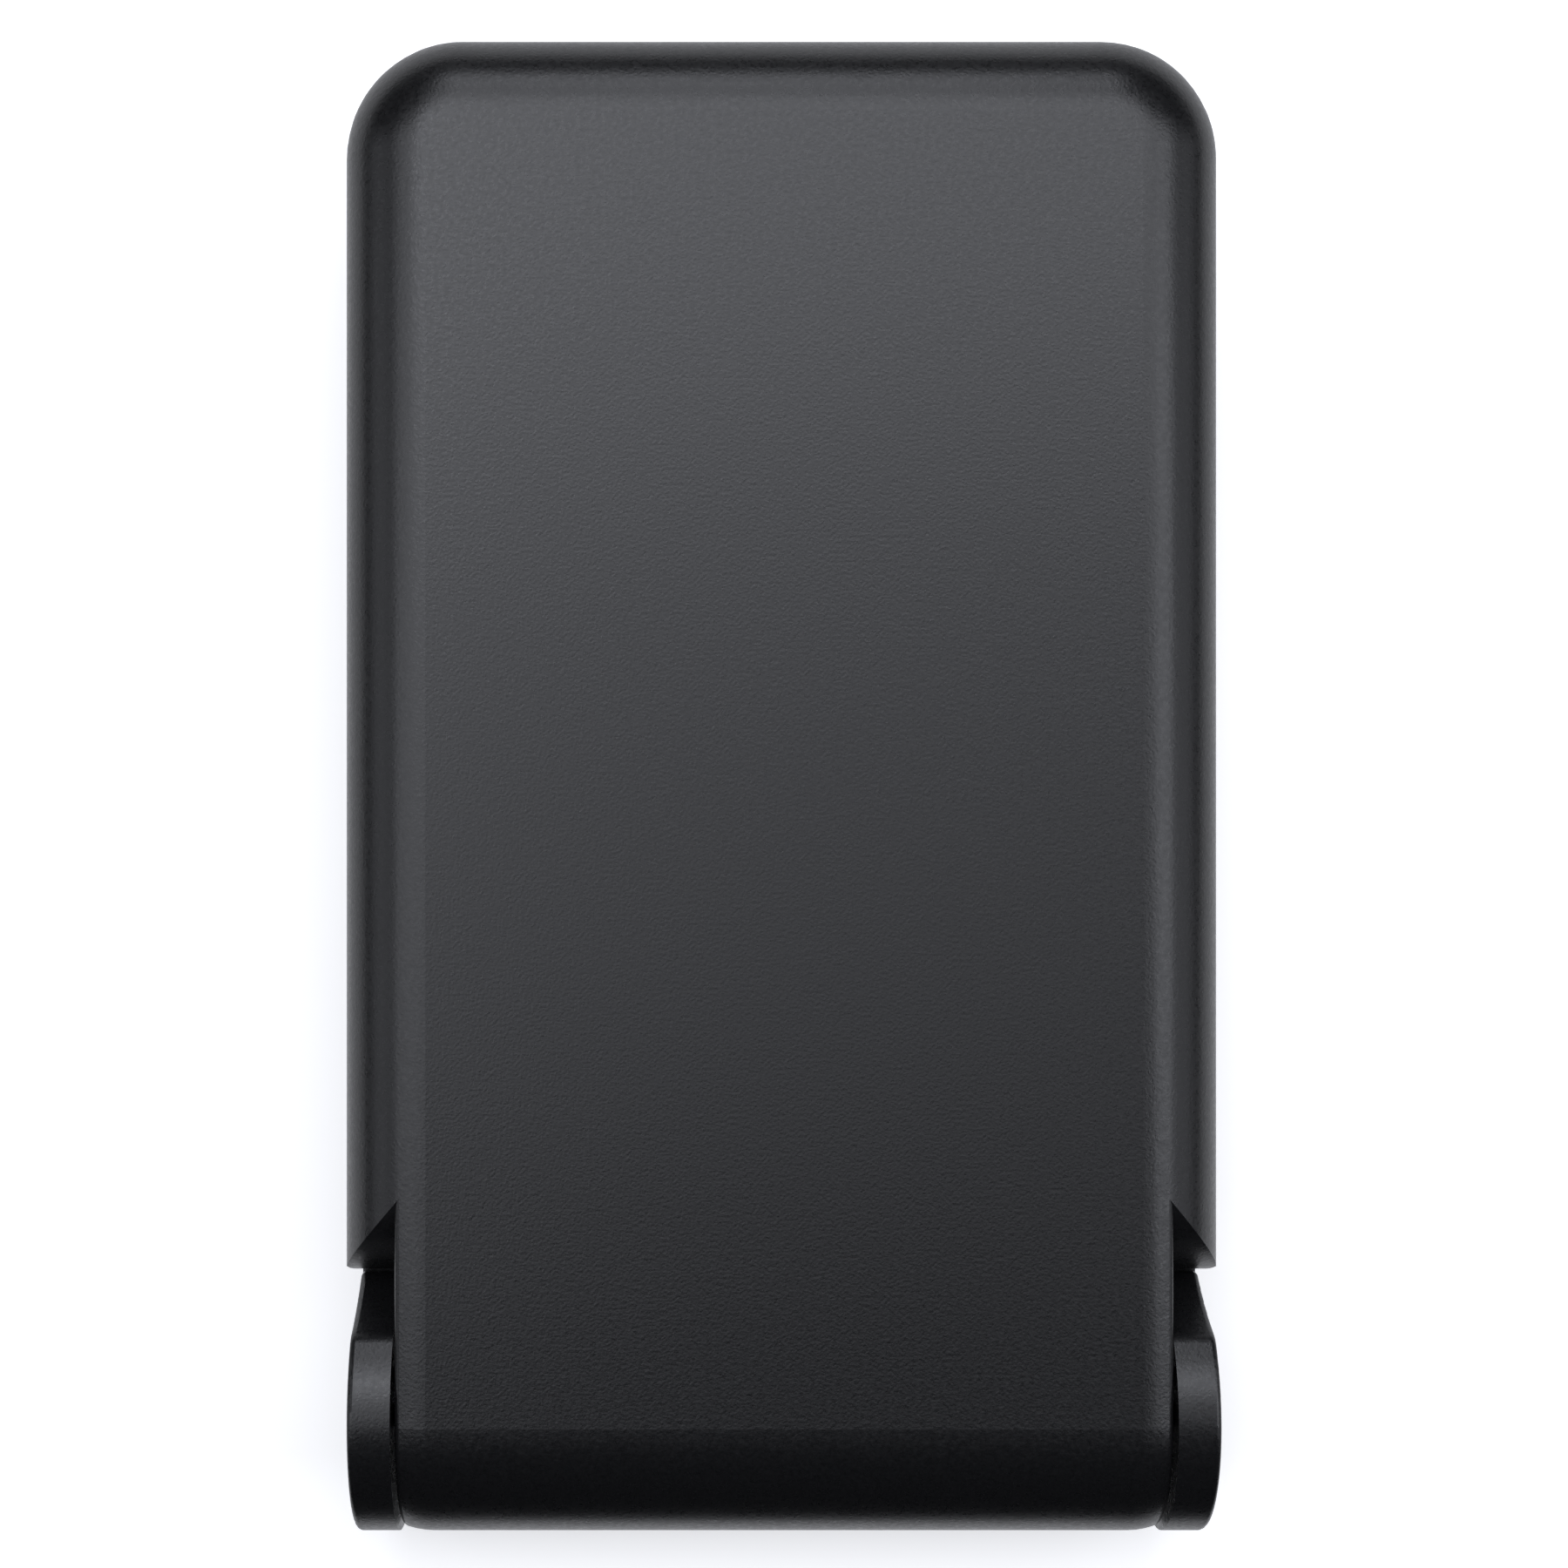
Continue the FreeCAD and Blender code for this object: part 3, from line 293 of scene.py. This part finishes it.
# A pad's mesh: spacing along a smooth pad and across any pad, rows to a groove, places on the rim as
# parts of its width, and degrees between places on a corner.
ROW_STEP, COLUMN_STEP, ROWS_PER_GROOVE = 2 * MM, 2.5 * MM, 6
RIM_PLACES = (0.0, 0.06, 0.18, 0.38, 0.65, 1.0)
CORNER_STEP = 9
# How far grooves take to fade out near the rim, and the power that shapes their section.
GROOVE_FADE, GROOVE_POWER = 0.8 * MM, 0.7


def inset_from(place, half, corner):
    """Depth of a place (x, y from the middle) inside a rounded rectangle."""
    x = abs(place[0]) - (half[0] - corner)
    y = abs(place[1]) - (half[1] - corner)
    return corner - math.hypot(max(x, 0.0), max(y, 0.0)) - min(max(x, y), 0.0)


def stations(half, rim, corner, step):
    """Places from -half to half, close together on the rim and the corners."""
    near = {round(rim * place, 7) for place in RIM_PLACES}
    for degrees in range(0, 91, CORNER_STEP):
        near.add(round(corner * (1 - math.cos(math.radians(degrees))), 7))
    near = sorted(near)
    inner = half - near[-1]
    count = max(2, round(2 * inner / step))
    middle = [-inner + 2 * inner * i / count for i in range(1, count)]
    low = [-half + place for place in near]
    return low + middle + [-place for place in reversed(low)]


def row_places(y, columns, half, corner, rim):
    """A row's columns, drawn in where the rounded corners make the row shorter."""
    short = max(abs(y) - (half[1] - corner), 0.0)
    reach = half[0] - corner + math.sqrt(max(corner**2 - short**2, 0.0))
    places = []
    for x in columns:
        if abs(x) < half[0] - rim:
            places.append(reach * x / half[0])
        else:
            places.append(x - math.copysign(half[0] - reach, x))
    return places


def pad_height(x, y, half, thickness, corner, rim, groove):
    """Height of a pad's exposed face over its seat, with its rounded rim and grooves."""
    inset = inset_from((x, y), half, corner)
    drop = rim - min(max(inset, 0.0), rim)
    level = thickness - rim + math.sqrt(max(rim**2 - drop**2, 0.0))
    if groove:
        pitch, depth, margin = groove
        fade = min(max((inset - margin) / GROOVE_FADE, 0.0), 1.0)
        wave = max(math.cos(2 * math.pi * y / pitch), 0.0) ** GROOVE_POWER
        level -= depth * wave * fade
    return level


def fill_sheet(mesh, sheet, smooth):
    """Faces between the rows of a grid of vertices."""
    for lower, upper in zip(sheet, sheet[1:]):
        for j in range(len(lower) - 1):
            corners = (lower[j], lower[j + 1], upper[j + 1], upper[j])
            mesh.faces.new(corners).smooth = smooth


def outline(sheet):
    """The vertices round the edge of a grid, in order."""
    low_row, high_row = sheet[0], sheet[-1]
    left = [row[0] for row in sheet[1:]]
    right = [row[-1] for row in sheet[:-1]]
    return low_row[:-1] + right + high_row[:0:-1] + left[::-1]


def moulded_pad(name, node, body, slot, facing, corner, rim, groove=None):
    """A pad with a rounded rim in a node's box.

    facing is 1 for a pad seen from above and -1 for one seen from below. groove is the pitch, depth
    and margin of the shallow grooves that cross it.
    """
    low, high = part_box(node)
    middle, size = (low + high) / 2, high - low
    half = (size.x / 2, size.y / 2)
    rows = stations(half[1], rim, corner, groove[0] / ROWS_PER_GROOVE if groove else ROW_STEP)
    columns = stations(half[0], rim, rim, COLUMN_STEP)
    seat = middle.z - facing * size.z / 2
    mesh = bmesh.new()
    exposed, seated = [], []
    for y in rows:
        face_row, seat_row = [], []
        for x in row_places(y, columns, half, corner, rim):
            height = pad_height(x, y, half, size.z, corner, rim, groove)
            place = (middle.x + x, middle.y + y)
            face_row.append(mesh.verts.new((*place, seat + facing * height)))
            seat_row.append(mesh.verts.new((*place, seat)))
        exposed.append(face_row)
        seated.append(seat_row)
    fill_sheet(mesh, exposed, smooth=True)
    fill_sheet(mesh, seated, smooth=False)
    edges = [outline(sheet) for sheet in (exposed, seated)]
    fill_sheet(mesh, [edge + edge[:1] for edge in edges], smooth=True)
    add_piece(name, mesh, node, body, slot)


def backrest_pad():
    """The smooth pad that a phone leans on."""
    moulded_pad(
        "backrest_pad_moulded", "backrest_pad", "backrest", "silicone",
        facing=-1, corner=3.95 * MM, rim=0.35 * MM,
    )


def phone_rest_pad():
    """The finely ribbed strip that a phone's lower edge stands on."""
    moulded_pad(
        "phone_rest_pad_ribbed", "phone_rest_pad", "base", "silicone",
        facing=1, corner=1.95 * MM, rim=0.3 * MM, groove=(1.3 * MM, 0.22 * MM, 0.8 * MM),
    )


def ledge_grip():
    """The ribbed strip on the flip-up ledge."""
    moulded_pad(
        "ledge_grip_ribbed", "ledge_grip", "ledge", "silicone",
        facing=1, corner=0.6 * MM, rim=0.2 * MM, groove=(0.9 * MM, 0.16 * MM, 0.35 * MM),
    )


def foot_pad():
    """The broadly ribbed pad that the stand rests on."""
    moulded_pad(
        "foot_pad_ribbed", "foot_pad", "base", "foot_rubber",
        facing=-1, corner=3.95 * MM, rim=0.35 * MM, groove=(3.0 * MM, 0.35 * MM, 2.5 * MM),
    )


# An ear cap's mesh: vertices round it, places on its dome as parts of its radius, and degrees between
# places on its rim.
CAP_SEGMENTS = 128
DOME_PLACES = (0.25, 0.5, 0.7, 0.85)
CAP_RIM_STEP = 15


def cap_profile(radius, face, back):
    """(radius, distance from the middle plane) along a cap, from its middle over its rim to its back."""
    edge, sunk, dome = 0.25 * MM, 0.12 * MM, 0.1 * MM
    profile = [(0.0, face - sunk + dome)]
    profile += [(radius * t, face - sunk + dome * (1 - t**2)) for t in DOME_PLACES]
    for degrees in range(0, 91, CAP_RIM_STEP):
        angle = math.radians(degrees)
        across = radius - edge + edge * math.sin(angle)
        profile.append((across, face - sunk - edge + edge * math.cos(angle)))
    return profile + [(radius, back), (0.0, back)]


def turn_ring(mesh, radius, x, middle):
    """A ring of vertices about the X axis through middle, or one vertex where it has no radius."""
    if radius == 0.0:
        return [mesh.verts.new((x, middle.y, middle.z))]
    ring = []
    for k in range(CAP_SEGMENTS):
        angle = 2 * math.pi * k / CAP_SEGMENTS
        y, z = middle.y + radius * math.cos(angle), middle.z + radius * math.sin(angle)
        ring.append(mesh.verts.new((x, y, z)))
    return ring


def join_rings(mesh, inner, outer):
    """Faces between two neighbouring rings; the flat back, which ends in a point, isn't smoothed."""
    for k in range(CAP_SEGMENTS):
        n = (k + 1) % CAP_SEGMENTS
        if len(inner) == 1:
            corners = (inner[0], outer[k], outer[n])
        elif len(outer) == 1:
            corners = (inner[k], outer[0], inner[n])
        else:
            corners = (inner[k], outer[k], outer[n], inner[n])
        mesh.faces.new(corners).smooth = len(outer) > 1


def ear_cap(side):
    """The press-in disc that hides a hinge shaft's head, set back a little with a softened rim."""
    node, gap = f"ear_cap_{side}", 0.07 * MM
    low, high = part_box(node)
    middle, radius = (low + high) / 2, (high.y - low.y) / 2 - gap
    outward = math.copysign(1.0, middle.x)
    face, back = max(abs(low.x), abs(high.x)), min(abs(low.x), abs(high.x))
    mesh = bmesh.new()
    rings = [
        turn_ring(mesh, across, outward * along, middle)
        for across, along in cap_profile(radius, face, back)
    ]
    for inner, outer in zip(rings, rings[1:]):
        join_rings(mesh, inner, outer)
    add_piece(f"{node}_disc", mesh, node, "base", "casing_plastic")


def moulded_pieces():
    """The finer pieces that stand for plain CAD nodes."""
    backrest_pad()
    phone_rest_pad()
    ledge_grip()
    foot_pad()
    ear_cap("right")
    ear_cap("left")


# ---------------------------------------------------------------- studio

# How far the floor reaches each way, and where the glowing card lies that paints the plastic's
# reflection of the floor.
FLOOR_REACH = 3.0
GLEAM_SIDE, GLEAM_NEAR, GLEAM_FAR, GLEAM_DEPTH = 0.13, -0.09, 0.3, 0.2 * MM

# Softboxes: name, degrees from straight up, compass angle in degrees, size in metres, watts.
SOFTBOX_DISTANCE = 0.62
SOFTBOXES = [
    ("softbox_far", 24, 90, (0.46, 0.3), 1.42),
    ("softbox_far_low", 54, 90, (0.34, 0.27), 0.74),
    ("softbox_top", 2, 270, (0.34, 0.24), 0.27),
    ("softbox_left", 30, 173, (0.5, 0.42), 1.22),
    ("softbox_right", 38, 7, (0.5, 0.3), 1.3),
    ("softbox_left_low", 70, 180, (0.5, 0.3), 0.42),
    ("softbox_right_low", 70, 0, (0.5, 0.3), 0.42),
]


def flat_sheet(name, left, right, near, far, height, finish, **seen_by):
    """A level rectangle; seen_by switches the kinds of ray that see it."""
    mesh = bmesh.new()
    corners = ((left, near), (right, near), (right, far), (left, far))
    mesh.faces.new([mesh.verts.new((x, y, height)) for x, y in corners])
    sheet = add_object(name, mesh, finish)
    for ray, seen in seen_by.items():
        setattr(sheet, ray, seen)


def floor():
    """A white light table, and a hair beneath its middle the dimmer glowing card that paints the
    plastic's reflection of the table.
    """
    flat_sheet(
        "floor", -FLOOR_REACH, FLOOR_REACH, -FLOOR_REACH, FLOOR_REACH, 0.0, light_table(),
        visible_glossy=False,
    )
    # Painted reflection: the card glows and only reflections see it, while the table itself is left out
    # of reflections.
    flat_sheet(
        "floor_gleam", -GLEAM_SIDE, GLEAM_SIDE, GLEAM_NEAR, GLEAM_FAR, -GLEAM_DEPTH, painted_reflection_card(),
        visible_camera=False, visible_diffuse=False, visible_shadow=False,
    )


def softbox(name, tilt, turn, size, power):
    """A soft rectangular light, tilt degrees from straight up towards the compass angle turn."""
    lean, way = math.radians(tilt), math.radians(turn)
    place = Vector(
        (math.sin(lean) * math.cos(way), math.sin(lean) * math.sin(way), math.cos(lean))
    )
    data = bpy.data.lights.new(name, "AREA")
    data.shape = "RECTANGLE"
    data.size, data.size_y = size
    data.energy = power
    data.color = COOL_WHITE
    lamp = bpy.data.objects.new(name, data)
    bpy.context.collection.objects.link(lamp)
    lamp.location = place * SOFTBOX_DISTANCE
    lamp.rotation_euler = place.to_track_quat("Z", "Y").to_euler()
    lamp.visible_camera = False


def studio():
    """White surroundings that only the camera sees, and the softboxes that light the stand."""
    world = bpy.data.worlds.new("studio")
    bpy.context.scene.world = world
    world.use_nodes = True
    background = world.node_tree.nodes["Background"]
    background.inputs["Color"].default_value = (*WHITE, 1.0)
    background.inputs["Strength"].default_value = 1.0
    world.cycles_visibility.diffuse = False
    world.cycles_visibility.glossy = False
    for box in SOFTBOXES:
        softbox(*box)
    bpy.context.scene.view_settings.view_transform = "Standard"


def camera():
    """Straight above the folded stand, close enough for its upper parts to look larger."""
    data = bpy.data.cameras.new("camera")
    data.sensor_width = 36.0
    data.lens = 58.28
    data.shift_x = 0.0644
    data.clip_start = 0.01
    seen = bpy.data.objects.new("camera", data)
    bpy.context.collection.objects.link(seen)
    seen.location = (-7.9 * MM, 0.6 * MM, 219.6 * MM)
    bpy.context.scene.camera = seen


finish_nodes()
moulded_pieces()
floor()
studio()
camera()
